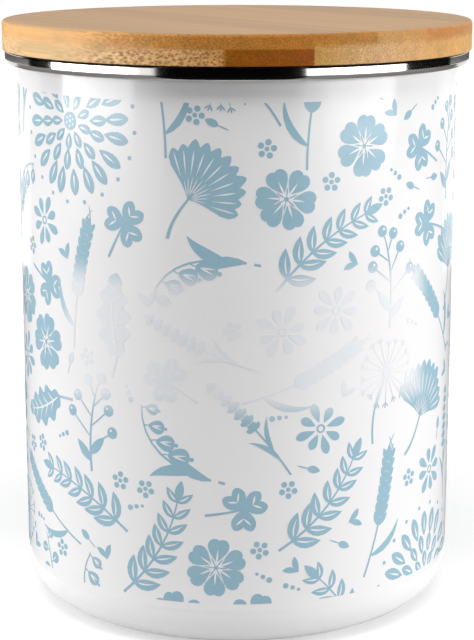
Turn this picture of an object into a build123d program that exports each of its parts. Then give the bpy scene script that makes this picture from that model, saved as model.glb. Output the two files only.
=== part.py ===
from build123d import *
import os

# Enamelled steel storage canister with a crimped steel rim and a push-in bamboo lid.
#
# Millimetres, +Z up. The origin is the middle of the base, on the surface that the canister
# stands on. Every piece is round about Z, so each one is a half section in the XZ plane,
# with x as the radius, turned about the Z axis.

# Canister body: one drawn steel cup with glass enamel on both faces
BODY_DIAMETER = 120.0  # outside of the enamelled wall
CANISTER_HEIGHT = 153.2  # from the base to the top of the steel rim
WALL = 0.9  # steel sheet and both coats of enamel
BASE_CORNER_RADIUS = 12.0  # outside of the round between base and wall
STANDING_RING_WIDTH = 5.0  # flat ring that the canister stands on
RECESS_DEPTH = 1.5  # how far the middle of the base is pressed up
RECESS_RUN = 3.0  # width of the slope from the ring to the recess
RECESS_BEND = 3.0  # outside radius of the two bends of that slope

# Rolled lip: the wall turns out and down again at the mouth
LIP_REACH = 2.0  # free gap between the wall and the turned-down leg
LIP_TURN_DOWN = 1.0  # length of that leg below the underside of the lip
LIP_BEND = 0.3  # radius inside the two bends of the lip

# Steel rim: a strip crimped round the lip
RIM_THICKNESS = 0.4
RIM_TOP_BEND = 0.2  # radius inside the upper bend
RIM_BOTTOM_BEND = 1.0  # radius inside the lower bend, which lies below the lip's leg
RIM_MOUTH_SETBACK = 1.3  # from the bore out to the strip's upper edge
RIM_WALL_GAP = 0.5  # from the wall out to the strip's lower edge
CRIMP_CLEARANCE = 0.05  # between the strip and the lip that it holds

# Bamboo lid: a plate with a turned plug below it
LID_OVERHANG = 0.65  # how far the plate stands out past the rim
LID_THICKNESS = 7.8  # plate alone
LID_TOP_ROUND = 0.8
LID_BOTTOM_ROUND = 0.2
PLUG_DEPTH = 7.0
PLUG_CLEARANCE = 1.5  # radial gap between plug and bore, which the seal bridges
PLUG_ROUND = 0.8

# Silicone seal: a ribbed ring in a groove halfway down the plug
GROOVE_HEIGHT = 3.0
GROOVE_DEPTH = 2.0
SEAL_SIDE_CLEARANCE = 0.1  # above and below the ring in its groove
SEAL_RIB_COUNT = 2
SEAL_RIB_THICKNESS = 0.7
SEAL_CLEARANCE = 0.2  # between the rib tips and the bore

# Radii and heights that follow from those sizes
body_radius = BODY_DIAMETER / 2
bore_radius = body_radius - WALL
lip_leg_radius = body_radius + LIP_REACH
rim_inner_radius = lip_leg_radius + WALL + CRIMP_CLEARANCE
rim_radius = rim_inner_radius + RIM_THICKNESS
lip_top = CANISTER_HEIGHT - RIM_THICKNESS - CRIMP_CLEARANCE
lip_underside = lip_top - WALL
lip_end = lip_underside - LIP_TURN_DOWN
lid_radius = rim_radius + LID_OVERHANG
lid_seat = CANISTER_HEIGHT
plug_radius = bore_radius - PLUG_CLEARANCE
plug_bottom = lid_seat - PLUG_DEPTH
groove_radius = plug_radius - GROOVE_DEPTH
groove_bottom = (lid_seat + plug_bottom - GROOVE_HEIGHT) / 2
groove_top = groove_bottom + GROOVE_HEIGHT


def turned(section):
    """Turns a half section, drawn with x as radius and y as height, about the Z axis."""
    return revolve(Plane.XZ * section, axis=Axis.Z)


def canister_body():
    """Cup drawn from one sheet, its outer skin followed from the middle of the base to the lip's end."""
    ring_outer = body_radius - BASE_CORNER_RADIUS
    ring_inner = ring_outer - STANDING_RING_WIDTH
    outer_skin = FilletPolyline(
        (0, RECESS_DEPTH),
        (ring_inner - RECESS_RUN, RECESS_DEPTH),
        (ring_inner, 0),
        (body_radius, 0),
        (body_radius, lip_underside),
        (lip_leg_radius, lip_underside),
        (lip_leg_radius, lip_end),
        radius=(RECESS_BEND, RECESS_BEND, BASE_CORNER_RADIUS, LIP_BEND, LIP_BEND),
    )
    sheet = offset(outer_skin, WALL, side=Side.LEFT, closed=True)
    return turned(make_face(sheet.edges()))


def rim_band():
    """Steel strip over the top, the outside and the underside of the lip, traced along its middle line."""
    half = RIM_THICKNESS / 2
    strip_radius = rim_inner_radius + half
    strip_top = CANISTER_HEIGHT - half
    strip_bottom = lip_end - CRIMP_CLEARANCE - RIM_BOTTOM_BEND - half
    middle_line = FilletPolyline(
        (bore_radius + RIM_MOUTH_SETBACK, strip_top),
        (strip_radius, strip_top),
        (strip_radius, strip_bottom),
        (body_radius + RIM_WALL_GAP, strip_bottom),
        radius=(RIM_TOP_BEND + half, RIM_BOTTOM_BEND + half),
    )
    return turned(trace(middle_line, RIM_THICKNESS))


def bamboo_lid():
    """Plate that lies on the rim, with a plug that goes into the mouth and a groove for the seal."""
    lid_top = lid_seat + LID_THICKNESS
    corners = (
        ((0, plug_bottom), 0),
        ((plug_radius, plug_bottom), PLUG_ROUND),
        ((plug_radius, groove_bottom), 0),
        ((groove_radius, groove_bottom), 0),
        ((groove_radius, groove_top), 0),
        ((plug_radius, groove_top), 0),
        ((plug_radius, lid_seat), 0),
        ((lid_radius, lid_seat), LID_BOTTOM_ROUND),
        ((lid_radius, lid_top), LID_TOP_ROUND),
        ((0, lid_top), 0),
    )
    outline = FilletPolyline(
        *[point for point, rounding in corners],
        radius=[rounding for point, rounding in corners],
        close=True,
    )
    return turned(make_face(outline.edges()))


def lid_seal():
    """Ring that fills the groove, with round-tipped ribs that reach for the bore."""
    ring_height = GROOVE_HEIGHT - 2 * SEAL_SIDE_CLEARANCE
    ring_bottom = groove_bottom + SEAL_SIDE_CLEARANCE
    rib_tip = bore_radius - SEAL_CLEARANCE
    tip_round = SEAL_RIB_THICKNESS / 2
    rib_length = rib_tip - tip_round - groove_radius
    rib_step = ring_height / SEAL_RIB_COUNT
    from_corner = (Align.MIN, Align.MIN)
    section = Pos(groove_radius, ring_bottom) * Rectangle(GROOVE_DEPTH, ring_height, align=from_corner)
    for rib in range(SEAL_RIB_COUNT):
        rib_middle = ring_bottom + (rib + 0.5) * rib_step
        rib_corner = Pos(groove_radius, rib_middle - tip_round)
        section += rib_corner * Rectangle(rib_length, SEAL_RIB_THICKNESS, align=from_corner)
        section += Pos(groove_radius + rib_length, rib_middle) * Circle(tip_round)
    return turned(section)


pieces = {
    "canister_body": canister_body(),
    "rim_band": rim_band(),
    "bamboo_lid": bamboo_lid(),
    "lid_seal": lid_seal(),
}

os.makedirs("parts", exist_ok=True)
for name, piece in pieces.items():
    export_step(piece, f"parts/{name}.step")
    print(name, "volume", round(piece.volume), "mm3")
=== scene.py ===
# %% [markdown]
# # An enamel storage canister
#
# The canister is a white enamelled steel cup with a pale blue print, a polished steel rim and a
# bamboo lid. The CAD model gives every size, so it is loaded first and stays as it is: the pieces
# made here are finer surfaces in the same places, with the finishes that the CAD can't carry.

# %% Load the frame
import math

import bmesh
import bpy
import numpy as np
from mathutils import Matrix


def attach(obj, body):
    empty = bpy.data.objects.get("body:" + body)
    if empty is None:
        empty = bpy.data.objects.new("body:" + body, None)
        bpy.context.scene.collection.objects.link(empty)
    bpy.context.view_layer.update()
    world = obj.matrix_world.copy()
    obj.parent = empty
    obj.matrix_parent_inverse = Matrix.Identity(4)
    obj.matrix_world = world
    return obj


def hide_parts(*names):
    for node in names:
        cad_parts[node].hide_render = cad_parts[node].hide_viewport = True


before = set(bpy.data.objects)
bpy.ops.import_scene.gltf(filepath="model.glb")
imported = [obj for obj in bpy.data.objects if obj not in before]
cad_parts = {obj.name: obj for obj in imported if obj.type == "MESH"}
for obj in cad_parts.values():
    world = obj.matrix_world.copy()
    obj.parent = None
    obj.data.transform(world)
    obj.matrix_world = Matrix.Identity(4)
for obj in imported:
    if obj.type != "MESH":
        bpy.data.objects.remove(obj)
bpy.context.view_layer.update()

MM = 0.001

# %% [markdown]
# ## The camera
#
# The camera stands a little above the lid and looks down at the canister. A longer lens from further
# off would flatten it, and a shorter one from close by would swell it. So place, pitch and focal
# length come from one fit to the outlines of the lid, the rim and the base.

# %% Camera
CAMERA_BACK = 0.52806
CAMERA_HEIGHT = 0.19369
CAMERA_PITCH = 12.534
CAMERA_LENS = 107.43
CAMERA_CLIP = 0.01

camera = bpy.data.objects.new("camera", bpy.data.cameras.new("camera"))
bpy.context.scene.collection.objects.link(camera)
camera.location = (0.0, -CAMERA_BACK, CAMERA_HEIGHT)
camera.rotation_euler = (math.radians(90 - CAMERA_PITCH), 0.0, 0.0)
camera.data.lens = CAMERA_LENS
camera.data.clip_start = CAMERA_CLIP
bpy.context.scene.camera = camera
bpy.context.scene.view_settings.view_transform = "Standard"
print("camera at", tuple(camera.location))

# %% [markdown]
# ## Colours and nodes
#
# Colours are written as on a paint card, in sRGB hex, and shaders want linear light, so one
# function turns the one into the other. A second small function adds any shader node with its
# settings and all that is fed to it, so that a material reads from top to bottom like a recipe.
# Steps that come up again and again, such as a range, a noise or a mix, get a short name each.


# %% Helpers for materials
def linear(hex_colour):
    """sRGB hex to linear RGBA: c / 12.92 below 0.04045, else ((c + 0.055) / 1.055) to the power 2.4."""
    c = np.array([int(hex_colour[i:i + 2], 16) for i in (1, 3, 5)]) / 255
    rgb = np.where(c <= 0.04045, c / 12.92, ((c + 0.055) / 1.055) ** 2.4)
    return (*rgb.tolist(), 1.0)


def in_use(sockets, key):
    """The socket of that number, or the one in use of that name: nodes keep hidden twins for other data."""
    if isinstance(key, int):
        return sockets[key]
    return next(socket for socket in sockets if socket.name == key and socket.enabled)


def add_node(tree, kind, feeds=None, **settings):
    """Adds a node. Settings name its properties. A feed is a value for a socket, or a socket to link."""
    node = tree.nodes.new(kind)
    for key, value in settings.items():
        setattr(node, key, value)
    for key, feed in (feeds or {}).items():
        socket = in_use(node.inputs, key)
        if isinstance(feed, bpy.types.NodeSocket):
            tree.links.new(feed, socket)
        else:
            socket.default_value = feed
    return node


def ranged(tree, value, start, end, low=0.0, high=1.0, kind="SMOOTHSTEP"):
    """A socket that goes from low to high while the value goes from start to end, and is level beyond."""
    feeds = {"Value": value, "From Min": start, "From Max": end, "To Min": low, "To Max": high}
    return add_node(tree, "ShaderNodeMapRange", feeds, interpolation_type=kind).outputs[0]


def maths(tree, operation, *values, **settings):
    """A socket with the outcome of one step of arithmetic on sockets or numbers."""
    feeds = dict(enumerate(values))
    return add_node(tree, "ShaderNodeMath", feeds, operation=operation, **settings).outputs[0]


def product(tree, value, *others):
    """A socket with the product of sockets or numbers."""
    for other in others:
        value = maths(tree, "MULTIPLY", value, other)
    return value


def noise(tree, place, width, detail, roughness=0.5, **settings):
    """A socket with smooth noise from 0 to 1, whose patches are about that wide."""
    feeds = {"Vector": place, "Scale": 1 / width, "Detail": detail, "Roughness": roughness}
    return add_node(tree, "ShaderNodeTexNoise", feeds, **settings).outputs[0]


def mixed(tree, share, first, second, **settings):
    """A socket with a blend of two colours: the first alone at share 0."""
    feeds = {"Factor": share, "A": first, "B": second}
    return in_use(add_node(tree, "ShaderNodeMix", feeds, data_type="RGBA", **settings).outputs, "Result")


def times(tree, colour, factor):
    """A socket with a colour times a number or another colour."""
    return add_node(tree, "ShaderNodeVectorMath", {0: colour, 1: factor}, operation="MULTIPLY").outputs[0]


def new_material(name):
    """A material without nodes, its tree and its Object coordinates in metres."""
    material = bpy.data.materials.new(name)
    material.use_nodes = True
    tree = material.node_tree
    tree.nodes.clear()
    return material, tree, add_node(tree, "ShaderNodeTexCoord").outputs["Object"]


def surface(tree, shader):
    """Adds the output of a material and feeds it with a shader node."""
    add_node(tree, "ShaderNodeOutputMaterial", {"Surface": shader.outputs[0]})


# %% [markdown]
# ## Softboxes
#
# The canister stands between two large softboxes. A glossy wall shows a lamp twice, as an image in
# the gloss and as light on the white below it. One lamp could do both, but then neither could be set
# alone. So the low mirrored boxes are the ones whose images are seen, and the plain ones only light.

# %% Softboxes
BOX_DISTANCE, TOP_DISTANCE = 0.85, 0.8
LEFT_MIDDLE, LEFT_HEIGHT = 0.0745, 0.059
RIGHT_MIDDLE, RIGHT_HEIGHT = 0.0695, 0.069
SIDE_MIDDLE, SIDE_HEIGHT = 0.24, 0.22
TOP_MIDDLE = 0.12


def softbox(name, azimuth, middle, size, radiance, elevation=0, distance=BOX_DISTANCE, mirrored=False):
    """A rectangular area lamp that faces the axis at the height middle, from that azimuth and elevation.
    Its power is pi x area x radiance. Only a mirrored one shows in reflections."""
    lamp = bpy.data.lights.new(name, "AREA")
    lamp.shape = "RECTANGLE"
    lamp.size, lamp.size_y = size
    lamp.energy = math.pi * size[0] * size[1] * radiance
    box = bpy.data.objects.new(name, lamp)
    bpy.context.scene.collection.objects.link(box)
    a, e = math.radians(azimuth), math.radians(elevation)
    away = np.array([math.sin(a) * math.cos(e), -math.cos(a) * math.cos(e), math.sin(e)])
    box.location = away * distance + (0, 0, middle)
    box.rotation_euler = (math.radians(90) - e, 0.0, a)
    box.visible_glossy = mirrored
    print(name, "at", [round(v, 2) for v in box.location])


softbox("softbox_left", -74.7, LEFT_MIDDLE, (0.711, LEFT_HEIGHT), 8.6, mirrored=True)
softbox("softbox_left_edge", -49.2, LEFT_MIDDLE, (0.085, LEFT_HEIGHT), 1.5, mirrored=True)
softbox("softbox_left_fade", -42.7, LEFT_MIDDLE, (0.105, LEFT_HEIGHT), 0.4, mirrored=True)
softbox("softbox_left_front", -45, 0.072, (0.21, 0.064), 2.1)
softbox("softbox_right", 64.9, RIGHT_MIDDLE, (0.649, RIGHT_HEIGHT), 4.6, mirrored=True)
softbox("softbox_right_edge", 38, RIGHT_MIDDLE, (0.18, RIGHT_HEIGHT), 1.6, mirrored=True)
softbox("softbox_left_side", -88, SIDE_MIDDLE, (0.6, SIDE_HEIGHT), 4.2)
softbox("softbox_right_side", 84, SIDE_MIDDLE, (0.6, SIDE_HEIGHT), 12.3)
softbox("softbox_right_upper", 62, SIDE_MIDDLE, (1.0, SIDE_HEIGHT), 1.9)
softbox("softbox_back_left", -100, 0.34, (0.9, 0.42), 5.4, distance=0.95)
softbox("softbox_top", 0, TOP_MIDDLE, (0.8, 0.45), 5.8, elevation=66, distance=TOP_DISTANCE)
softbox("softbox_top_back", 0, TOP_MIDDLE, (0.8, 0.25), 0.8, elevation=82, distance=TOP_DISTANCE)

# %% [markdown]
# ## Backdrop and table
#
# Backdrop and table are white paper. Lit paper would come out grey here and there, so both glow plain
# white where they are looked at. For all other light the world is a mild fill and the table dull paper,
# painted darker further out as shade round a pool of light, and one function tells the two kinds of ray
# apart.


# %% World
def looked_at(tree):
    """A socket that is 1 for rays from the camera, straight, mirrored or through glass, and else 0."""
    path = add_node(tree, "ShaderNodeLightPath").outputs
    seen = maths(tree, "MAXIMUM", path["Is Camera Ray"], path["Is Glossy Ray"])
    return maths(tree, "MAXIMUM", seen, path["Is Transmission Ray"])


WHITE = "#ffffff"
FILL = 0.03
world = bpy.data.worlds.new("studio")
bpy.context.scene.world = world
world.use_nodes = True
tree = world.node_tree
tree.nodes.clear()
strength = ranged(tree, looked_at(tree), 0.0, 1.0, FILL, 1.0, kind="LINEAR")
light = add_node(tree, "ShaderNodeBackground", {"Color": linear(WHITE), "Strength": strength})
add_node(tree, "ShaderNodeOutputWorld", {"Surface": light.outputs[0]})
print("world fill", FILL)


# %% Table
def mesh_object(name, points, faces):
    """Points (n, 3) in metres and index rows into a linked mesh object at the origin."""
    mesh = bpy.data.meshes.new(name)
    mesh.from_pydata(points.reshape(-1, 3).tolist(), [], faces)
    obj = bpy.data.objects.new(name, mesh)
    bpy.context.scene.collection.objects.link(obj)
    return obj


FLOOR_SIZE = 6.0
SHEET_NEAR, SHEET_FAR = 0.16, 0.45
PAPER_SHADE_NEAR, PAPER_SHADE_FAR = "#c4c4c4", "#585858"
GLOW_NEAR = 0.5
floor_material, tree, place = new_material("table_paper_white")
away = add_node(tree, "ShaderNodeVectorMath", {0: place}, operation="LENGTH").outputs["Value"]
# Painted shade: further out the paper turns darker, standing in for the light that falls off away from the
# canister.
far = ranged(tree, away, SHEET_NEAR, SHEET_FAR)
shade = mixed(tree, far, linear(PAPER_SHADE_NEAR), linear(PAPER_SHADE_FAR))
paper = add_node(tree, "ShaderNodeBsdfDiffuse", {"Color": shade})
level = ranged(tree, far, 0.0, 1.0, GLOW_NEAR, 1.0, kind="LINEAR")
glow = add_node(tree, "ShaderNodeEmission", {
    "Color": linear(WHITE), "Strength": product(tree, looked_at(tree), level),
})
surface(tree, add_node(tree, "ShaderNodeAddShader", {0: paper.outputs[0], 1: glow.outputs[0]}))
floor_corners = np.array([(-1, -1, 0), (1, -1, 0), (1, 1, 0), (-1, 1, 0)]) * FLOOR_SIZE / 2
floor = mesh_object("table", floor_corners, [(0, 1, 2, 3)])
floor.data.materials.append(floor_material)
print("table", FLOOR_SIZE, "m wide")

# %% [markdown]
# ## Dark cards
#
# The room in front of the canister, above the boxes and beside them is dark, and that is what draws
# the black bands in the polished rim. Black and grey cards stand in for the room. They show in
# reflections alone, so they take no light from the canister.


# %% Cards
def card_felt(name, tone):
    """Felt on a card: dull, of one tone."""
    material, tree, _ = new_material(name)
    surface(tree, add_node(tree, "ShaderNodeBsdfDiffuse", {"Color": linear(tone)}))
    return material


def wrapped(r, a, z):
    """Points at a radius, an azimuth from the front and a height: (r sin a, -r cos a, z)."""
    return np.stack(np.broadcast_arrays(r * np.sin(a), -r * np.cos(a), z), -1)


CARD_STEPS = 24
ROOM_TOP = 1.1
FRONT_LEFT, FRONT_RIGHT = -38, 32
SIDE_LEFT, SIDE_RIGHT = -96, 84
FOOT, TABLE_LIFT = 0.075, 0.001
felt_black = card_felt("card_felt_black", "#0c0c0c")
felt_grey = card_felt("card_felt_grey", "#8a8a8a")


def card(name, felt, azimuths, distances, heights):
    """A card bent round the axis from one azimuth to the other, while distance and height stay or run from
    their first to their second value. It shows in reflections and to no other ray."""
    a = np.radians(np.linspace(*azimuths, CARD_STEPS))[:, None]
    points = wrapped(np.broadcast_to(distances, (1, 2)), a, np.broadcast_to(heights, (1, 2)))
    near = np.arange(0, 2 * CARD_STEPS - 2, 2)
    sheet = mesh_object(name, points, np.stack([near, near + 1, near + 3, near + 2], -1).tolist())
    sheet.data.materials.append(felt)
    sheet.visible_camera = False
    sheet.visible_diffuse = False
    sheet.visible_shadow = False


card("card_front", felt_black, (FRONT_LEFT, FRONT_RIGHT), 1.05, (0.0, ROOM_TOP))
card("card_above_left", felt_black, (-125, FRONT_LEFT), 0.8, (0.12, ROOM_TOP))
card("card_above_right", felt_black, (FRONT_RIGHT, 125), 0.8, (0.12, ROOM_TOP))
card("card_left", felt_black, (-119, SIDE_LEFT), 1.2, (0.015, 0.6))
card("card_right", felt_black, (SIDE_RIGHT, 125), 1.2, (0.015, 0.6))
card("card_back", felt_grey, (125, 241), 1.2, (0.047, 0.14))
card("card_table", felt_black, (FRONT_LEFT, FRONT_RIGHT), (FOOT, 1.05), TABLE_LIFT)
card("card_table_left", felt_grey, (SIDE_LEFT, FRONT_LEFT), (FOOT, 0.7), TABLE_LIFT)
card("card_table_right", felt_grey, (FRONT_RIGHT, SIDE_RIGHT), (FOOT, 0.7), TABLE_LIFT)
card("card_table_left_end", felt_grey, (-135, SIDE_LEFT), (FOOT, 1.2), TABLE_LIFT)
card("card_table_right_end", felt_grey, (SIDE_RIGHT, 135), (FOOT, 1.2), TABLE_LIFT)
card("card_table_back", felt_grey, (135, 225), (FOOT, 0.5), TABLE_LIFT)
print("dark cards are staged")

# %% [markdown]
# ## Turned and pressed pieces
#
# Cup, rim, lid and seal are all round about the upright axis. Spinning a curve would do, but a
# surface of two parameters is clearer: a section line in radius and height, carried round a turn.
# Bends in the section are true arcs. A point just before and after each arc keeps the smooth
# shading of the bend from spreading along the straight runs.

# %% Section lines and lathe
ARC_STEPS = 9
TURN_STEPS = 288
BEND_GUARD = 0.12
SMOOTH_LIMIT = math.radians(35)


def section_line(corners):
    """Straight runs between (radius, height, bend) corners, with an arc at each corner that has a bend.

    With u and v the directions from the corner to its neighbours and t half their angle, the arc starts
    bend / tan t from the corner, and its centre lies bend / sin t away along the bisector."""
    corners = np.array(corners, float)
    line = [corners[:1, :2]]
    for before, corner, after in zip(corners[:-2], corners[1:-1], corners[2:]):
        middle, bend = corner[:2], corner[2]
        u = (before[:2] - middle) / np.linalg.norm(before[:2] - middle)
        v = (after[:2] - middle) / np.linalg.norm(after[:2] - middle)
        half = np.arccos(np.clip(u @ v, -1, 1)) / 2
        reach = bend / np.tan(half)
        centre = middle + (u + v) / np.linalg.norm(u + v) * bend / np.sin(half)
        turn = np.pi - 2 * half
        s = np.linspace(0, 1, ARC_STEPS)[:, None]
        a, b = middle + u * reach - centre, middle + v * reach - centre
        arc = centre + (np.sin((1 - s) * turn) * a + np.sin(s * turn) * b) / np.sin(turn)
        guard = min(BEND_GUARD, bend)
        line += [[middle + u * (reach + guard)], arc, [middle + v * (reach + guard)]]
    line.append(corners[-1:, :2])
    return np.concatenate(line)


def sheet_corners(skin, thickness):
    """Both skins of a bent sheet, there and back. Each corner moves along its mitre by the thickness to
    the left, and its bend shrinks by the thickness in a left turn and grows by it in a right turn."""
    skin = np.array(skin, float)
    run = np.diff(skin[:, :2], axis=0)
    run /= np.linalg.norm(run, axis=1)[:, None]
    left = np.stack([-run[:, 1], run[:, 0]], -1)
    before, after = np.vstack([left[:1], left]), np.vstack([left, left[-1:]])
    mitre = (before + after) / (1 + (before * after).sum(1))[:, None]
    turn = np.sign(np.concatenate([[0], run[:-1, 0] * run[1:, 1] - run[:-1, 1] * run[1:, 0], [0]]))
    other = np.column_stack([skin[:, :2] + mitre * thickness, skin[:, 2] - turn * thickness])
    return np.vstack([skin, other[::-1]])


def lathe(name, line, body, node, material, ring=False):
    """Carries a section line in millimetres round the axis: (r sin a, -r cos a, z). A ring's line closes
    on itself. Any other line starts and ends on the axis, where fans of triangles meet."""
    a = np.linspace(0, 2 * np.pi, TURN_STEPS, endpoint=False)[None, :]
    rows = line[:-1] if ring else line[1:-1]
    points = wrapped(rows[:, :1] * MM, a, rows[:, 1:] * MM).reshape(-1, 3)
    index = np.arange(len(rows) * TURN_STEPS).reshape(len(rows), TURN_STEPS)
    index = np.vstack([index, index[:1]]) if ring else index
    index = np.hstack([index, index[:, :1]])
    quads = np.stack([index[:-1, :-1], index[:-1, 1:], index[1:, 1:], index[1:, :-1]], -1).reshape(-1, 4)
    faces = quads.tolist()
    if not ring:
        first, last = len(points), len(points) + 1
        points = np.vstack([points, [[0, 0, line[0, 1] * MM], [0, 0, line[-1, 1] * MM]]])
        faces += np.stack([np.full(TURN_STEPS, first), index[0, 1:], index[0, :-1]], -1).tolist()
        faces += np.stack([np.full(TURN_STEPS, last), index[-1, :-1], index[-1, 1:]], -1).tolist()
    obj = mesh_object(name, points, faces)
    obj.data.shade_smooth()
    obj.data.set_sharp_from_angle(angle=SMOOTH_LIMIT)
    obj.data.materials.append(material)
    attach(obj, body)
    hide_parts(node)
    print(name, "has", len(faces), "faces")


# %% [markdown]
# ## Vitreous enamel
#
# Enamel is glass fired on to steel: opaque white underneath, with a clear glossy skin that is never
# quite level. A Principled shader with the glass's index of refraction gives the gloss, and a broad,
# very shallow noise bends its reflections as the flow of the melted glass does.

# %% Enamel
ENAMEL_WHITE, ENAMEL_WARM = "#f0eff1", "#edebea"
ENAMEL_ROUGHNESS, GLASS_INDEX = 0.15, 1.52
FLOW_WIDTH, FLOW_HEIGHT = 9.0 * MM, 0.010 * MM
CLOUD_WIDTH = 40.0 * MM


def enamel(name, colour_of):
    """Glossy glass whose colour socket is fed by colour_of(tree, place), so that prints share its skin."""
    material, tree, place = new_material(name)
    flow = noise(tree, place, FLOW_WIDTH, detail=1.0)
    wave = add_node(tree, "ShaderNodeBump", {"Height": flow, "Strength": 1.0, "Distance": FLOW_HEIGHT})
    surface(tree, add_node(tree, "ShaderNodeBsdfPrincipled", {
        "Base Color": colour_of(tree, place), "Normal": wave.outputs[0],
        "Roughness": ENAMEL_ROUGHNESS, "IOR": GLASS_INDEX,
    }))
    return material


def enamel_tone(tree, place):
    """White with wide cloudy patches that are a shade warmer, as in fired enamel."""
    cloud = noise(tree, place, CLOUD_WIDTH, detail=2.0)
    return mixed(tree, cloud, linear(ENAMEL_WHITE), linear(ENAMEL_WARM))


enamel_white = enamel("vitreous_enamel_fired_white", enamel_tone)
print("enamel with waves", FLOW_WIDTH / MM, "mm wide")

# %% [markdown]
# ## The cup
#
# The cup is drawn from one sheet: a pressed-up base, a wide round corner, a straight wall and a lip
# that turns out and down for the rim to grip. So the section is one skin of that sheet and its parallel.

# %% Cup
SHEET = 0.9
outer_skin = [
    (0, 1.5, 0), (40, 1.5, 3), (43, 0, 3), (60, 0, 12),
    (60, 151.85, 0.3), (62, 151.85, 0.3), (62, 150.85, 0.15),
]
cup_line = section_line(sheet_corners(outer_skin, SHEET))
lathe("cup_drawn_enamelled", cup_line, "canister", "canister_body", enamel_white)

# %% [markdown]
# ## The print
#
# The wall carries a one-colour print of plants. Such a print is a transfer: ceramic ink on a film
# that is slid on to the enamel and fired, so it lies on the glass a few hundredths of a millimetre
# thick. A picture would blur close up, and here there is no picture: every mark is a ribbon, a spine
# drawn on the unrolled wall with a half width along it. A leaf, a petal, a stem, a dot and a ring
# are all ribbons, so one function can carry whole arrays of them on to the round wall.

# %% Marks on the unrolled wall
WALL_RADIUS = 60.0
SPINE_POINTS = 9
FINEST = 0.05


def blades(x, y, angle, length, width, peak=0.5, blunt=0.8, bow=0.0):
    """Leaves, petals and strokes from a root (x, y) at an angle in degrees, 90 is up.

    With t from 0 at the root to 1 at the tip, the spine is a straight run plus a bow of 4 t (1 - t), and
    the half width is sin(pi t^g)^blunt, where g puts the widest place at peak. A low blunt gives round
    ends."""
    angle = np.radians(angle)
    x, y, angle, length, width, bow = np.broadcast_arrays(*np.atleast_1d(x, y, angle, length, width, bow))
    t = (1 - np.cos(np.linspace(0, np.pi, SPINE_POINTS))) / 2
    ahead = np.stack([np.cos(angle), np.sin(angle)], -1)[:, None]
    aside = np.stack([-np.sin(angle), np.cos(angle)], -1)[:, None]
    arch = bow[:, None, None] * (4 * t * (1 - t))[:, None]
    run = length[:, None, None] * (t[:, None] * ahead + arch * aside)
    spread = np.sin(np.pi * t ** (np.log(0.5) / np.log(peak))).clip(0) ** blunt
    half = np.maximum(width[:, None] / 2 * spread, FINEST)
    return np.stack([x, y], -1)[:, None] + run, half, 2, False


def dots(x, y, radius, across=2):
    """Discs: the spine is a diameter, the half width is the half chord, radius times sin(pi u)."""
    x, y, radius = np.broadcast_arrays(*np.atleast_1d(x, y, radius))
    u = np.linspace(0, np.pi, SPINE_POINTS)
    spine = np.stack([x[:, None] - radius[:, None] * np.cos(u), y[:, None] + 0 * u], -1)
    return spine, np.maximum(radius[:, None] * np.sin(u), FINEST), across, False


def rings(x, y, radius, width):
    """Rings: the spine is a circle that closes on itself."""
    x, y, radius = np.broadcast_arrays(*np.atleast_1d(x, y, radius))
    u = np.linspace(0, 2 * np.pi, 3 * SPINE_POINTS, endpoint=False)
    spine = np.stack([x[:, None] + radius[:, None] * np.cos(u), y[:, None] + radius[:, None] * np.sin(u)], -1)
    return spine, np.full(spine.shape[:2], width / 2), 2, True


def on_stem(stem, t):
    """Point and direction in degrees at t on a stem: a parabola from root to tip, drawn to a guide point."""
    root, guide, tip = (np.array(p, float) for p in stem)
    t = np.atleast_1d(t)[:, None]
    spot = (1 - t) ** 2 * root + 2 * t * (1 - t) * guide + t ** 2 * tip
    ahead = (1 - t) * (guide - root) + t * (tip - guide)
    return spot[:, 0], spot[:, 1], np.degrees(np.arctan2(ahead[:, 1], ahead[:, 0]))


def stems(stem, thick, thin):
    """One stem, tapered from thick to thin."""
    t = np.linspace(0, 1, SPINE_POINTS)
    x, y, _ = on_stem(stem, t)
    return np.stack([x, y], -1)[None], ((thick + (thin - thick) * t) / 2)[None], 2, False


def turn(count, start=90.0):
    """Angles in degrees, evenly round a full turn."""
    return start + np.arange(count) * 360 / count


def at(radius, angle):
    """Points at a radius and an angle in degrees."""
    return radius * np.cos(np.radians(angle)), radius * np.sin(np.radians(angle))


# %% [markdown]
# ## A garden of plain motifs
#
# Each motif is a small recipe in millimetres, drawn upright about its own middle. It gives two
# lists: the marks in ink, and the fine lines that are left bare inside them, as in a paper cut. The
# random generator bends and turns each one a little, so that no two are quite the same.


# %% Flowers
def dahlia(rng):
    """Rows of petals round a dotted eye, each row longer than the one inside it."""
    ink = [dots(0, 0, 2.4, across=4)]
    bare = [dots(*at(1.3, turn(6)), 0.28), dots(0, 0, 0.4)]
    rows = (9, 3.1, 4.6, 2.5), (14, 7.2, 5.6, 2.9), (20, 12.2, 7.2, 3.3)
    for row, (count, start, length, width) in enumerate(rows):
        a = turn(count, 90 + 9 * row) + rng.normal(0, 1.2, count)
        uneven = length * rng.normal(1, 0.03, count)
        ink.append(blades(*at(start, a), a, uneven, width, peak=0.58, blunt=0.62))
        bare.append(blades(*at(start + 0.22 * length, a), a, 0.55 * length, 0.55, peak=0.3, blunt=0.9))
    ink.append(dots(*at(21.0, turn(20, 99)), 0.55))
    return ink, bare


def primrose(rng):
    """Six notched petals, each of two round lobes, round a bare eye with stamens."""
    a = turn(6) + rng.normal(0, 3, 6)
    ink = [blades(*at(1.5, a), a + side, 6.4, 3.7, peak=0.68, blunt=0.5) for side in (-13, 13)]
    bare = [dots(0, 0, 1.75), blades(*at(1.6, a), a, 3.2, 0.5, peak=0.3)]
    eye = dots(0, 0, 0.6), blades(0, 0, a + 30, 2.9, 0.34, peak=0.6)
    return ink, bare, list(eye)


def windflower(rng):
    """Eight narrow round-tipped petals of two lengths, with a ring for an eye."""
    a = turn(8) + rng.normal(0, 2, 8)
    length = np.where(np.arange(8) % 2, 4.4, 5.4)
    return [blades(*at(1.7, a), a, length, 2.4, peak=0.66, blunt=0.55), rings(0, 0, 0.95, 0.5)], []


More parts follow.
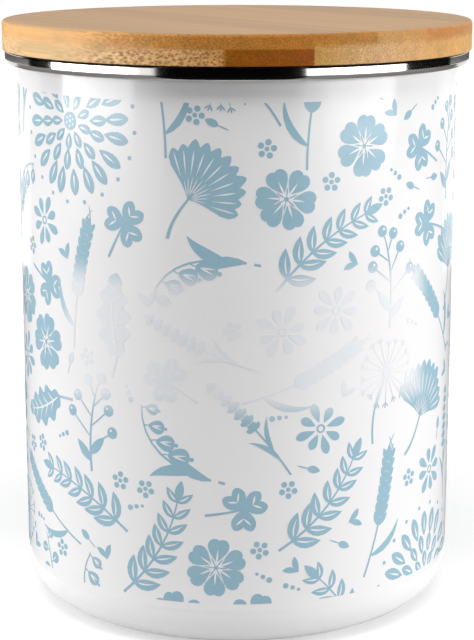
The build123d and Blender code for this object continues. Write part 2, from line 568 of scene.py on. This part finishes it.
def bellflowers(rng):
    """An arched stem with bells that hang from short stalks, largest at the bottom."""
    stem = (-6, -14), (-7, 9), (8, 12)
    t = np.array([0.5, 0.66, 0.82, 0.98])
    x, y, _ = on_stem(stem, t)
    size = np.array([1.15, 1.0, 0.85, 0.7])
    ink = [stems(stem, 0.7, 0.35), blades(x, y, -78 + rng.normal(0, 6, 4), 2.0 * size, 0.35)]
    ink.append(blades(x + 0.3, y - 1.6 * size, -84, 5.2 * size, 4.4 * size, peak=0.62, blunt=0.45))
    ink.append(dots(x + 0.85 * size, y - 7.2 * size, 0.5 * size))
    bare = [blades(x + 0.45, y - 2.8 * size, -84 + side, 3.2 * size, 0.42, peak=0.4) for side in (-11, 11)]
    x, y, a = on_stem(stem, [0.08, 0.2])
    ink.append(blades(x, y, a + (-24, 26), (15, 12), 3.0, peak=0.45, blunt=0.9, bow=(0.12, -0.12)))
    return ink, bare


def seed_head(rng):
    """A ball of fine rays, each with a tuft, on a long stem."""
    a = turn(18) + rng.normal(0, 2, 18)
    reach = rng.uniform(5.6, 7.4, 18)
    tip = reach + 1.2
    ink = [dots(0, 4, 1.5), stems(((3, -15), (-2, -6), (0, 3)), 0.6, 0.4)]
    x, y = at(1.6, a)
    ink.append(blades(x, y + 4, a, reach, 0.26, peak=0.5, blunt=0.3))
    x, y = at(tip, a)
    for side in (-38, 0, 38):
        ink.append(blades(x, y + 4, a + side, 1.7, 0.42, peak=0.6))
    return ink, []


# %% Leaves, sprigs and ears
def fan_leaf(rng):
    """A fan of narrow blades that widen to the edge, on a curved stalk."""
    spread = np.linspace(-62, 62, 11)
    length = 15.5 - 2.0 * np.abs(spread / 62) ** 2 + rng.normal(0, 0.25, 11)
    ink = [blades(0, -5, 90 + spread, length, 3.5, peak=0.78, blunt=0.75)]
    ink.append(stems(((3.5, -16), (0.5, -12), (0, -3)), 0.9, 0.5))
    return ink, [blades(*at(6.2, 90 + spread) + np.array([[0], [-5]]), 90 + spread, 6.0, 0.4, peak=0.6)]


def laurel(rng):
    """A bowed branch with leaves in pairs that get smaller to the tip, each with a bare rib."""
    stem = (0, -18), (rng.uniform(-6, -3), 0), (3, 15)
    t = np.linspace(0.12, 0.92, 7)
    x, y, a = on_stem(stem, t)
    length = 8.2 - 3.6 * t
    ink, bare = [stems(stem, 0.75, 0.35)], []
    for side in (-1, 1):
        lean = a + side * (44 + rng.normal(0, 4, 7))
        ink.append(blades(x, y, lean, length, 0.40 * length, peak=0.45, blunt=0.85, bow=0.06 * side))
        up_x, up_y = at(0.16 * length, lean)
        bare.append(blades(x + up_x, y + up_y, lean, 0.6 * length, 0.42, peak=0.35, bow=0.07 * side))
    ink.append(blades(x[-1:], y[-1:], a[-1:], 6.0, 2.4, peak=0.5))
    return ink, bare


def coin_sprig(rng):
    """A bowed twig with round leaves on short stalks, left and right in turn."""
    stem = (-2, -16), (rng.uniform(3, 6), -2), (0, 15)
    t = np.linspace(0.14, 0.94, 9)
    x, y, a = on_stem(stem, t)
    radius = 2.6 - 1.3 * t
    lean = a + np.where(np.arange(9) % 2, 62, -62)
    leaf_x, leaf_y = at(1.9 * radius, lean)
    ink = [stems(stem, 0.7, 0.3), blades(x, y, lean, radius + 0.6, 0.4)]
    ink.append(dots(x + leaf_x, y + leaf_y, radius, across=4))
    return ink, [blades(x + 0.5 * leaf_x, y + 0.5 * leaf_y, lean, 1.3 * radius, 0.36)]


def wheat_ear(rng):
    """Two rows of grains up a stalk, with a beard of fine awns."""
    stem = (-1, -19), (-2, -4), (1.5, 13)
    t = np.linspace(0.46, 0.98, 8)
    x, y, a = on_stem(stem, t)
    ink = [stems(stem, 0.6, 0.4)]
    for side in (-1, 1):
        ink.append(blades(x, y, a + side * 31, 4.3, 1.75, peak=0.5, blunt=0.75))
        lean = a + side * (24 + rng.normal(0, 3, 8))
        ink.append(blades(x + side * 1.5, y + 2.6, lean, 5.2, 0.28, peak=0.4, blunt=0.4))
    ink.append(blades(x[-1:], y[-1:], a[-1:], 4.6, 1.8))
    ink.append(blades(-1.2, -13, 122, 13, 1.9, peak=0.4, bow=0.14))
    return ink, []


def berry_spray(rng):
    """A forked stem whose side stems each end in a berry with a bare glint."""
    stem = (0, -14), (2, -2), (-1, 9)
    t = np.array([0.28, 0.4, 0.52, 0.64, 0.76, 0.88, 1.0])
    x, y, a = on_stem(stem, t)
    lean = a + np.array([52, -50, 48, -46, 40, -38, 0]) + rng.normal(0, 4, 7)
    reach = np.array([9.0, 9.0, 8.0, 7.2, 6.0, 5.0, 3.2])
    out_x, out_y = at(reach, lean)
    tip_x, tip_y = x + out_x, y + out_y
    ink = [stems(stem, 0.75, 0.4), blades(x, y, lean, reach, 0.42, blunt=0.3), dots(tip_x, tip_y, 1.55)]
    bare = [dots(tip_x + 0.45, tip_y + 0.5, 0.36)]
    x, y, a = on_stem(stem, [0.12, 0.2])
    ink.append(blades(x, y, a + (-40, 44), 7.0, 2.6, peak=0.45))
    return ink, bare


def clover(rng):
    """Three heart leaves, each of two lobes, with a bare chevron, on a stalk."""
    a = 90 + np.array([-112, 0, 112]) + rng.normal(0, 3, 3)
    ink = [blades(0, 0, a + side, 6.2, 3.6, peak=0.62, blunt=0.55) for side in (-21, 21)]
    ink.append(stems(((2.5, -10), (1, -5), (0, 0)), 0.7, 0.5))
    x, y = at(2.5, a)
    return ink, [blades(x, y, a + side, 2.6, 0.5, peak=0.5) for side in (-48, 48)]


def oak_leaf(rng):
    """A lobed leaf: the half width swings four times along the spine. Its rib and veins are bare."""
    u = np.linspace(0, 1, 3 * SPINE_POINTS)
    swing = 0.80 + 0.20 * np.cos(2 * np.pi * (4.4 * u - 0.15))
    half = np.maximum(5.6 * np.sin(np.pi * u ** 0.82).clip(0) ** 0.62 * swing, FINEST)
    bend = rng.uniform(1.2, 2.6)
    spine = np.stack([bend * 4 * u * (1 - u) - bend / 2, -10.5 + 22 * u], -1)
    ink = [(spine[None], half[None], 5, False), stems(((1.2, -16), (0.2, -13), (-bend / 2, -10)), 0.8, 0.6)]
    v = np.array([0.16, 0.32, 0.48, 0.64, 0.8])
    x, y = bend * 4 * v * (1 - v) - bend / 2, -10.5 + 22 * v
    bare = [blades(-bend / 2 + 0.1, -9.6, 90 - 1.5, 19.0, 0.55, peak=0.25, blunt=0.5, bow=-bend / 22)]
    vein = 3.9 * np.sin(np.pi * v ** 0.82) ** 0.6 + 0.4
    for side in (-1, 1):
        bare.append(blades(x, y, 90 + side * 48, vein, 0.42, peak=0.3, bow=-0.05 * side))
    return ink, bare


def lavender(rng):
    """Whorls of small florets up a straight stem, with two narrow leaves below."""
    stem = (0, -17), (rng.uniform(-3, 3), -2), (0, 14)
    t = np.linspace(0.5, 0.98, 7)
    x, y, a = on_stem(stem, t)
    ink = [stems(stem, 0.55, 0.35), blades(x[-1:], y[-1:], a[-1:], 2.6, 1.2)]
    for side in (-58, -22, 22, 58):
        ink.append(blades(x, y, a + side, 3.0 - 1.1 * t, 1.25, peak=0.62, blunt=0.6))
    x, y, a = on_stem(stem, [0.16, 0.26])
    ink.append(blades(x, y, a + (24, -26), 9.5, 1.3, peak=0.4, bow=(-0.1, 0.1)))
    return ink, []


# %% Small fillers
def pip_flower(rng):
    """Five dots round one."""
    a = turn(5) + rng.uniform(0, 60)
    return [dots(*at(1.75, a), 0.78), dots(0, 0, 0.6)], []


def twin_leaf(rng):
    """Two small leaves on one root."""
    return [blades(0, -1.6, 90 + np.array([-34, 34]), 4.4, 1.7, peak=0.55, bow=(0.08, -0.08))], []


def three_pips(rng):
    """Three dots in a row, each smaller."""
    return [dots((-1.6, 0.1, 1.7), (-0.7, 0.2, 0.9), (0.75, 0.6, 0.45))], []


def bud(rng):
    """One closed bud on a thread."""
    return [blades(0, 0, 90, 3.6, 2.0, peak=0.45, blunt=0.7), blades(0, 0.3, -90, 3.2, 0.36, blunt=0.4)], []


# %% [markdown]
# ## Spreading the motifs
#
# Printed all round, the motifs lie loosely tossed with even gaps. Placing over two hundred of them by
# hand is slow, and plain random places would clump. So they start at random, the four largest at set
# places, and are then pushed apart. The list says how many there are of each and the room they take:
# a row of discs, given by their radius and the reach of the row.

# %% Layout
AROUND = 2 * np.pi * WALL_RADIUS
PRINT_BOTTOM, PRINT_TOP = 14.0, 144.0
MOST_LEAN = 75
LAYOUT_SEED = 29
motifs = (
    (dahlia, 4, 21.8, 0), (primrose, 17, 8.3, 0), (windflower, 18, 7.2, 0), (bellflowers, 8, 9.0, 8),
    (seed_head, 9, 7.5, 8), (fan_leaf, 8, 10.5, 4), (laurel, 8, 7.0, 11), (coin_sprig, 8, 6.4, 10),
    (wheat_ear, 9, 5.2, 13), (berry_spray, 8, 8.2, 6), (clover, 10, 7.0, 2), (oak_leaf, 8, 6.4, 9),
    (lavender, 9, 4.6, 12), (pip_flower, 36, 3.0, 0), (twin_leaf, 28, 3.0, 0), (three_pips, 28, 2.8, 0),
    (bud, 24, 2.6, 1),
)
rng = np.random.default_rng(LAYOUT_SEED)
kind = np.concatenate([np.full(count, i) for i, (_, count, _, _) in enumerate(motifs)])
room = np.array([motifs[i][2] for i in kind])
reach = np.array([motifs[i][3] for i in kind])
lean = rng.uniform(-MOST_LEAN, MOST_LEAN, len(kind))
mirror = rng.choice([-1.0, 1.0], len(kind))
place_s = rng.uniform(-AROUND / 2, AROUND / 2, len(kind))
place_h = rng.uniform(PRINT_BOTTOM, PRINT_TOP, len(kind))
place_s[:4], place_h[:4] = (-46, 58, 150, -138), (121, 33, 106, 52)
print(len(kind), "motifs of", len(motifs), "kinds")

# %% [markdown]
# ## Pushing apart
#
# Each motif is a row of five discs. Discs that overlap push each other apart, over and over, on a
# strip whose two ends meet, and a push at one end of a row turns it. Large motifs give way less.
# Places are rounded to a micron each time, so that the last digits of one computer or another can't
# grow into another layout.

# %% Pushing apart
ROUNDS = 160
PUSH_EASE, TURN_EASE = 0.125, 4 / 3
DISCS = 5
GAP = 1.3
EDGE_PLAY = 5.0
FILLER_ROOM = 3.0
NEVER_ZERO = 1e-6
DIGITS = 3
steps = np.linspace(-1, 1, DISCS)
owner = np.repeat(np.arange(len(kind)), len(steps))
weight = (1 / (room ** 2 * (1 + reach / room)))[owner]
share = weight[:, None] / (weight[:, None] + weight[None, :])
needed = (room[owner][:, None] + room[owner][None, :] + GAP) * (owner[:, None] != owner[None, :])
play = np.where(room > FILLER_ROOM, EDGE_PLAY, -FILLER_ROOM - reach)
for _ in range(ROUNDS):
    arm = np.outer(reach, steps).ravel()
    arm_s, arm_h = -np.sin(np.radians(lean))[owner] * arm, np.cos(np.radians(lean))[owner] * arm
    ds = np.subtract.outer(place_s[owner] + arm_s, place_s[owner] + arm_s)
    ds -= AROUND * np.round(ds / AROUND)
    dh = np.subtract.outer(place_h[owner] + arm_h, place_h[owner] + arm_h)
    apart = np.hypot(ds, dh) + NEVER_ZERO
    over = np.clip(needed - apart, 0, None)
    push = PUSH_EASE * share * over / apart
    push_s, push_h = (push * ds).sum(1), (push * dh).sum(1)
    place_s = np.round(place_s + np.bincount(owner, push_s), DIGITS)
    place_h = np.round(place_h + np.bincount(owner, push_h), DIGITS)
    place_h = place_h.clip(PRINT_BOTTOM - play, PRINT_TOP + play)
    twist = np.bincount(owner, arm_s * push_h - arm_h * push_s)
    lean = np.round(lean + TURN_EASE * np.degrees(twist / (reach ** 2 + room ** 2)), DIGITS)
print("largest overlap left", round(over.max(), 2), "mm")

# %% [markdown]
# ## Ink on the wall
#
# The marks are carried on to the wall as thin closed films, a little sunk into the glass so that no
# light gets under them. The print is cut off straight at top and bottom, as the edge of the transfer is.

# %% Films
INK_LIFT, BARE_LIFT, EYE_LIFT, SINK = 0.05, 0.08, 0.11, 0.05
CUT_SLACK = 1e-7


def film_faces(n, m, closed):
    """Quads of a film of n x m points below and as many above: both skins, the long sides and the ends."""
    index = np.arange(2 * n * m).reshape(2, n, m)
    low, high = np.concatenate([index, index[:, :1]], 1) if closed else index
    corners = [
        (high[:-1, :-1], high[1:, :-1], high[1:, 1:], high[:-1, 1:]),
        (low[:-1, :-1], low[:-1, 1:], low[1:, 1:], low[1:, :-1]),
        (low[:-1, 0], low[1:, 0], high[1:, 0], high[:-1, 0]),
        (high[:-1, -1], high[1:, -1], low[1:, -1], low[:-1, -1]),
    ]
    if not closed:
        corners += [
            (low[0, 1:], low[0, :-1], high[0, :-1], high[0, 1:]),
            (low[-1, :-1], low[-1, 1:], high[-1, 1:], high[-1, :-1]),
        ]
    return np.concatenate([np.stack([c.ravel() for c in quad], -1) for quad in corners])


def placed(marks, i):
    """A motif's marks turned by its lean, mirrored and moved to its place on the strip."""
    a = np.radians(lean[i])
    turned = np.array([[np.cos(a), np.sin(a)], [-np.sin(a), np.cos(a)]])
    for spine, half, across, closed in marks:
        yield spine * (mirror[i], 1.0) @ turned + (place_s[i], place_h[i]), half, across, closed


def shape_of(mark):
    """How a mark's ribbon is divided: points along it, points across it, and whether it closes."""
    spine, _, across, closed = mark
    return spine.shape[1], across, closed


def film(name, marks, lift, material):
    """Ribbons to closed films on the wall: spine plus half width times the left normal, wrapped as
    (r sin(s / R), -r cos(s / R), h), and cut at the top and bottom of the print."""
    points, faces, first = [], [], 0
    r = np.array([WALL_RADIUS - SINK, WALL_RADIUS + lift])[None, :, None, None]
    for n, across, closed in sorted({shape_of(mark) for mark in marks}):
        alike = [mark for mark in marks if shape_of(mark) == (n, across, closed)]
        spine = np.concatenate([mark[0] for mark in alike])
        half = np.concatenate([mark[1] for mark in alike])
        ahead = np.roll(spine, -1, 1) - np.roll(spine, 1, 1) if closed else np.gradient(spine, axis=1)
        ahead /= np.linalg.norm(ahead, axis=-1, keepdims=True)
        left = np.stack([-ahead[..., 1], ahead[..., 0]], -1)
        aside = half[..., None] * np.linspace(-1, 1, across)
        flat = spine[:, :, None] + aside[..., None] * left[:, :, None]
        angle, height = flat[:, None, ..., 0] / WALL_RADIUS, flat[:, None, ..., 1]
        points.append(wrapped(r, angle, height).reshape(-1, 3) * MM)
        starts = first + 2 * n * across * np.arange(len(spine))
        faces.append((film_faces(n, across, closed) + starts[:, None, None]).reshape(-1, 4))
        first += len(points[-1])
    obj = mesh_object(name, np.concatenate(points), np.concatenate(faces).tolist())
    trim = bmesh.new()
    trim.from_mesh(obj.data)
    for level, up in ((PRINT_BOTTOM, -1), (PRINT_TOP, 1)):
        cut = bmesh.ops.bisect_plane(trim, geom=[*trim.verts, *trim.edges, *trim.faces], dist=CUT_SLACK,
                                     plane_co=(0, 0, level * MM), plane_no=(0, 0, up), clear_outer=True)
        open_edges = [e for e in cut["geom_cut"] if isinstance(e, bmesh.types.BMEdge) and e.is_boundary]
        bmesh.ops.holes_fill(trim, edges=open_edges, sides=0)
    trim.to_mesh(obj.data)
    trim.free()
    obj.data.shade_smooth()
    obj.data.set_sharp_from_angle(angle=SMOOTH_LIMIT)
    obj.data.materials.append(material)
    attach(obj, "canister")
    print(name, "has", len(obj.data.polygons), "faces")


# %% [markdown]
# ## The ink
#
# Fired ink is coloured glass, so it has the enamel's own gloss. Its tone is a little uneven, as a
# screen print is. At the front the print fades into a soft bare field, which real transfers do with
# a finer screen. Here the ink's colour fades to the enamel's white by its place.

# %% Ink
INK_DEEP, INK_PALE = "#94b8c9", "#9fc0cf"
INK_GRAIN = 0.7 * MM
FIELD_MIDDLE, FIELD_HALF = 3.0, 58.0
FIELD_LOW, FIELD_HIGH = 61.0, 104.0
FIELD_SOFT, FIELD_STRENGTH = 9.0, 0.15


def field_edge(tree, value, middle, half, unit):
    """A socket that is faint near the middle and rises to 1 along the soft edge, half a field away."""
    off = maths(tree, "ABSOLUTE", maths(tree, "SUBTRACT", value, middle * unit))
    return ranged(tree, off, (half - FIELD_SOFT) * unit, half * unit, FIELD_STRENGTH, 1.0)


def ink_tone(tree, place):
    """Blue, a shade uneven as screened ink is, that fades to white inside the field."""
    xyz = add_node(tree, "ShaderNodeSeparateXYZ", {"Vector": place}).outputs
    angle = maths(tree, "ARCTAN2", xyz["X"], product(tree, xyz["Y"], -1.0))
    aside = field_edge(tree, angle, FIELD_MIDDLE, FIELD_HALF, 1 / WALL_RADIUS)
    upright = field_edge(tree, xyz["Z"], (FIELD_LOW + FIELD_HIGH) / 2, (FIELD_HIGH - FIELD_LOW) / 2, MM)
    grain = noise(tree, place, INK_GRAIN, detail=2.0)
    blue = mixed(tree, grain, linear(INK_DEEP), linear(INK_PALE))
    return mixed(tree, maths(tree, "MAXIMUM", aside, upright), linear(ENAMEL_WHITE), blue)


enamel_ink = enamel("ceramic_ink_fired_blue", ink_tone)

layers = ([], [], [])
for i, kind_of in enumerate(kind):
    for layer, marks in zip(layers, motifs[kind_of][0](rng)):
        layer.extend(placed(marks, i))
film("print_ink_blue", layers[0], INK_LIFT, enamel_ink)
film("print_bare_lines", layers[1], BARE_LIFT, enamel_white)
film("print_ink_eyes", layers[2], EYE_LIFT, enamel_ink)

# %% [markdown]
# ## The rim
#
# A strip of stainless steel, polished and crimped round the lip. Polishing leaves it a mirror with
# hair lines along the strip. A metal's colour is its reflection, so the studio does most of the work.

# %% Rim
HAIR_DRAW = (60, 60, 9000)
GLOSS_FINE, GLOSS_DULL = 0.06, 0.13
SCRATCH_STRENGTH, SCRATCH_DEPTH = 0.25, 0.002 * MM
rim_steel, tree, place = new_material("stainless_steel_polished_strip")
drawn = add_node(tree, "ShaderNodeMapping", {"Vector": place, "Scale": HAIR_DRAW}).outputs[0]
hair = noise(tree, drawn, 1.0, detail=3.0)
gloss = ranged(tree, hair, 0.0, 1.0, GLOSS_FINE, GLOSS_DULL, kind="LINEAR")
scratch = add_node(tree, "ShaderNodeBump", {
    "Height": hair, "Strength": SCRATCH_STRENGTH, "Distance": SCRATCH_DEPTH,
})
surface(tree, add_node(tree, "ShaderNodeBsdfPrincipled", {
    "Base Color": linear("#cfccc8"), "Metallic": 1.0, "Roughness": gloss, "Normal": scratch.outputs[0],
}))

STRIP_THICKNESS = 0.4
strip_skin = [(60.4, 152.8, 0.1), (62.95, 152.8, 0.2), (62.95, 149.8, 1.0), (60.5, 149.8, 0.1)]
strip_corners = sheet_corners(strip_skin, STRIP_THICKNESS)
middle = (strip_corners[0] + strip_corners[-1]) / 2 * (1, 1, 0)
strip_line = section_line(np.vstack([middle, strip_corners, middle]))
lathe("rim_polished_strip", strip_line, "canister", "rim_band", rim_steel, ring=True)

# %% [markdown]
# ## Bamboo
#
# The lid is turned from a board of two bamboo plies, each glued up from strips about 19 mm wide. The
# strips run straight across, and the lid sits a little turned on the canister. Bamboo is a bundle of
# fibres: cut across they are dark dots, small and close in the outer part of the stalk, large and loose
# in the inner part. Cut along, as on the top, they are faint streaks. An image of wood would stretch
# over the edge, so the tones are ramps over the board's width, one for each ply.

# %% Bamboo
LID_RADIUS, LID_TOP, LID_ROUND = 64.0 * MM, 161.0 * MM, 0.8 * MM
GRAIN_TURN = math.radians(-37)


def board_tones(tree, across, stops):
    """A ramp over the board's width: tones at places in millimetres from its middle, close together at
    a glue joint."""
    ramp = add_node(tree, "ShaderNodeValToRGB", {"Fac": across})
    steps = ramp.color_ramp.elements
    while len(steps) < len(stops):
        steps.new(0.5)
    for step, (spot, tone) in zip(steps, stops):
        step.position = (spot * MM + LID_RADIUS) / (2 * LID_RADIUS)
        step.color = linear(tone)
    return ramp.outputs["Color"]


bamboo, tree, place = new_material("bamboo_laminated_turned_oiled")
along = add_node(tree, "ShaderNodeMapping", {"Vector": place, "Rotation": (0, 0, GRAIN_TURN)}).outputs[0]
x, y, z = add_node(tree, "ShaderNodeSeparateXYZ", {"Vector": along}).outputs
across = ranged(tree, x, -LID_RADIUS, LID_RADIUS, kind="LINEAR")
upper = board_tones(tree, across, (
    (-64, "#f0bb7c"), (-57, "#dfa360"), (-52, "#c98e46"), (-45, "#b87c38"), (-25, "#b37427"),
    (-5, "#ad7833"), (-4, "#c09256"), (8, "#c28f57"), (18, "#ba8048"), (64, "#c08c56"),
))
lower = board_tones(tree, across, (
    (-64, "#e6bf8b"), (-58, "#e9bf8a"), (-52, "#dbac75"), (-41.3, "#c99556"), (-40.7, "#955708"),
    (-22, "#904a04"), (-21.6, "#be934a"), (-5, "#cca274"), (18, "#d0a166"), (64, "#d49f5a"),
))
print("bamboo strips turned by", round(math.degrees(GRAIN_TURN)), "degrees")

# %% [markdown]
# ## Plies and top
#
# Round the edge, the height tells which ply is seen. The glue line between them is fine in the middle
# and washed out towards the ends of the strips, and it steps up a little at one strip. On the top each
# strip has a tone of its own. Sanding has rounded the corner, so the edge's tone runs over on to it,
# darkened towards the top as painted shade against the light from above. Near the rim the top takes
# on some of the edge's paler tone, most where the glue line is washed out: painted light from the side.

# %% Plies and top
PLY_JOINT, PLY_STEP = 157.3 * MM, 0.6 * MM
INNER_EDGE, SECOND_EDGE = -41.0 * MM, -21.8 * MM
STRIP_WIDTH = 19.2 * MM
WASHED_END, WASHED_START = -61.0 * MM, -48.0 * MM
JOINT_FINE, JOINT_WASHED, JOINT_BEYOND = 0.2 * MM, 1.5 * MM, 0.8 * MM
CORNER_PAINTED_SHADE = 0.75
TOP_TONE, TOP_SPREAD = "#a27d51", 0.09
TOP_DEPTH, TOP_SOFT = 0.05 * MM, 0.4
PAINTED_LIGHT_FROM, PAINTED_LIGHT_MOST = 55.0 * MM, 0.6

beyond = maths(tree, "GREATER_THAN", x, SECOND_EDGE)
joint = ranged(tree, beyond, 0.0, 1.0, PLY_JOINT, PLY_JOINT + PLY_STEP)
soft = ranged(tree, x, WASHED_END, WASHED_START, JOINT_WASHED, JOINT_FINE)
soft = maths(tree, "ADD", soft, product(tree, beyond, JOINT_BEYOND))
above = maths(tree, "DIVIDE", maths(tree, "SUBTRACT", z, joint), soft)
in_upper = ranged(tree, above, -1.0, 1.0)
# Painted shade: the edge's tone darkens over the rounded corner towards the top, against the light from above
# that the corner catches.
corner = ranged(tree, z, LID_TOP - LID_ROUND, LID_TOP, 1.0, CORNER_PAINTED_SHADE, kind="LINEAR")
edge_tone = times(tree, mixed(tree, in_upper, lower, upper), corner)

strip = maths(tree, "FLOOR", maths(tree, "DIVIDE", maths(tree, "SUBTRACT", x, INNER_EDGE), STRIP_WIDTH))
chance = add_node(tree, "ShaderNodeTexWhiteNoise", {"W": strip}, noise_dimensions="1D").outputs["Value"]
bright = ranged(tree, chance, 0.0, 1.0, 1 - TOP_SPREAD, 1 + TOP_SPREAD, kind="LINEAR")
top_tone = times(tree, bright, linear(TOP_TONE)[:3])
top_start = maths(tree, "SUBTRACT", LID_TOP - TOP_DEPTH, product(tree, soft, TOP_SOFT))
on_top = ranged(tree, z, top_start, LID_TOP)
square = maths(tree, "ADD", product(tree, x, x), product(tree, y, y))
# Painted light: near the rim the top takes on the edge's paler tone, most where the glue line is washed out,
# as the side light catches the rounded edge.
outer = ranged(tree, maths(tree, "SQRT", square), PAINTED_LIGHT_FROM, LID_RADIUS, 0.0, PAINTED_LIGHT_MOST)
painted_light = product(tree, outer, ranged(tree, soft, JOINT_FINE, JOINT_WASHED))
on_top = maths(tree, "SUBTRACT", on_top, product(tree, on_top, painted_light))
tone = mixed(tree, on_top, edge_tone, top_tone)
print("plies meet at", round(PLY_JOINT / MM, 1), "mm")

# %% [markdown]
# ## Fibres
#
# The bundles are the cells of a Voronoi pattern in the plane across the strips, dark in the middle.
# Flecks between them and long streaks along the strips come from noise. Last, the corner under the
# plate is darkened by how closed in it is: painted shade where plate and rim meet.

# %% Fibres
BUNDLE_OUTER, BUNDLE_INNER = 0.6 * MM, 0.85 * MM
BUNDLE_CORE, BUNDLE_RIM = 0.1, 0.5
DOT_OUTER, DOT_INNER, DOT_TONE = 0.32, 0.66, "#9a7650"
FLECK, FLECK_OUTER, FLECK_INNER = 0.5 * MM, 0.32, 0.55
FADE_LEFT = (-63.5 * MM, -58 * MM, 0.2, 1.0)
FADE_RIGHT = (-12 * MM, 10 * MM, 1.0, 0.65)
DOTS_ON_TOP = 0.15
NOISE_LOW, NOISE_HIGH = 0.25, 0.75

left = maths(tree, "LESS_THAN", x, INNER_EDGE)
inner = maths(tree, "SUBTRACT", left, in_upper, use_clamp=True)
cut = add_node(tree, "ShaderNodeCombineXYZ", {"X": x, "Y": z}).outputs[0]
spacing = ranged(tree, inner, 0.0, 1.0, 1 / BUNDLE_OUTER, 1 / BUNDLE_INNER)
cells = add_node(tree, "ShaderNodeTexVoronoi", {"Vector": cut, "Scale": spacing}, voronoi_dimensions="2D")
bundle = ranged(tree, cells.outputs["Distance"], BUNDLE_CORE, BUNDLE_RIM, 1.0, 0.0)
shown = ranged(tree, on_top, 0.0, 1.0, 1.0, DOTS_ON_TOP, kind="LINEAR")
shown = product(tree, shown, ranged(tree, x, *FADE_LEFT), ranged(tree, x, *FADE_RIGHT))
dot = product(tree, shown, ranged(tree, inner, 0.0, 1.0, DOT_OUTER, DOT_INNER), bundle)
fleck = noise(tree, cut, FLECK, detail=1.0, noise_dimensions="2D")
fleck = ranged(tree, fleck, NOISE_LOW, NOISE_HIGH, -0.5, 0.5, kind="LINEAR")
fleck = product(tree, fleck, shown, ranged(tree, inner, 0.0, 1.0, FLECK_OUTER, FLECK_INNER))
print("bundles", BUNDLE_OUTER / MM, "to", BUNDLE_INNER / MM, "mm apart")

# %% Streaks and oil
STREAK_WIDTH, STREAK_DRAW, STREAK_DEPTH = 2.4 * MM, 0.02, 0.18
NOOK_REACH, NOOK_CLOSED, NOOK_OPEN, NOOK_DARK = 4.0 * MM, 0.62, 0.92, 0.02
PORE_STRENGTH, PORE_DEPTH = 0.3, 0.03 * MM
OIL_ROUGHNESS, OIL_INDEX = 0.5, 1.46

drawn = add_node(tree, "ShaderNodeMapping", {"Vector": along, "Scale": (1.0, STREAK_DRAW, 1.0)}).outputs[0]
streak = noise(tree, drawn, STREAK_WIDTH, detail=3.0, roughness=0.6)
streak = ranged(tree, streak, NOISE_LOW, NOISE_HIGH, 1 - STREAK_DEPTH, 1 + STREAK_DEPTH, kind="LINEAR")
grain = times(tree, tone, maths(tree, "ADD", streak, fleck))
grain = mixed(tree, dot, grain, linear(DOT_TONE), blend_type="MULTIPLY")
# Painted shade: ambient occlusion darkens the colour in closed-in corners, most under the plate where it
# meets the rim.
painted_nook_shade = add_node(tree, "ShaderNodeAmbientOcclusion", {"Distance": NOOK_REACH}, samples=8).outputs["AO"]
board = times(tree, grain, ranged(tree, painted_nook_shade, NOOK_CLOSED, NOOK_OPEN, NOOK_DARK, 1.0))
pore = add_node(tree, "ShaderNodeBump", {
    "Height": dot, "Strength": PORE_STRENGTH, "Distance": PORE_DEPTH,
}, invert=True)
surface(tree, add_node(tree, "ShaderNodeBsdfPrincipled", {
    "Base Color": board, "Normal": pore.outputs[0], "Roughness": OIL_ROUGHNESS, "IOR": OIL_INDEX,
}))
print("streaks", STREAK_WIDTH / MM, "mm wide")

# %% [markdown]
# ## The lid
#
# Plate and plug are turned from one blank: the plate lies on the rim, and the plug below it has a
# groove for the seal. Its edges are eased with sandpaper.

# %% Lid
LID_EASE = 0.12
lid_line = section_line([
    (0, 146.2, 0), (57.6, 146.2, 0.8), (57.6, 148.2, LID_EASE), (55.6, 148.2, LID_EASE),
    (55.6, 151.2, LID_EASE), (57.6, 151.2, LID_EASE), (57.6, 153.2, LID_EASE),
    (64, 153.2, 0.2), (64, 161, 0.8), (0, 161, 0),
])
lathe("lid_turned_bamboo", lid_line, "lid", "bamboo_lid", bamboo)

# %% [markdown]
# ## The seal
#
# A ring of translucent silicone with two ribs that drag along the bore. Silicone lets a little light
# in under its skin, so the shader has a shallow subsurface part, and moulding leaves it satin.

# %% Seal
HAZE_WIDTH = 3.0 * MM
SATIN_FINE, SATIN_DULL = 0.34, 0.5
silicone, tree, place = new_material("silicone_moulded_translucent")
haze = noise(tree, place, HAZE_WIDTH, detail=2.0)
satin = ranged(tree, haze, 0.0, 1.0, SATIN_FINE, SATIN_DULL, kind="LINEAR")
surface(tree, add_node(tree, "ShaderNodeBsdfPrincipled", {
    "Base Color": linear("#e6e4de"), "Roughness": satin, "IOR": 1.41,
    "Subsurface Weight": 0.3, "Subsurface Scale": 1.0 * MM,
}))

RIB_HALF, RIB_ROUND = 0.35, 0.33
seal_corners = [(55.62, 149.7, 0), (55.62, 148.3, 0.1), (57.55, 148.3, 0.1)]
for rib_middle in (149.0, 150.4):
    low, high = rib_middle - RIB_HALF, rib_middle + RIB_HALF
    seal_corners += [(57.55, low, 0.1), (58.9, low, RIB_ROUND), (58.9, high, RIB_ROUND), (57.55, high, 0.1)]
seal_corners += [(57.55, 151.1, 0.1), (55.62, 151.1, 0.1), (55.62, 149.7, 0)]
lathe("seal_ribbed_silicone", section_line(seal_corners), "lid", "lid_seal", silicone, ring=True)
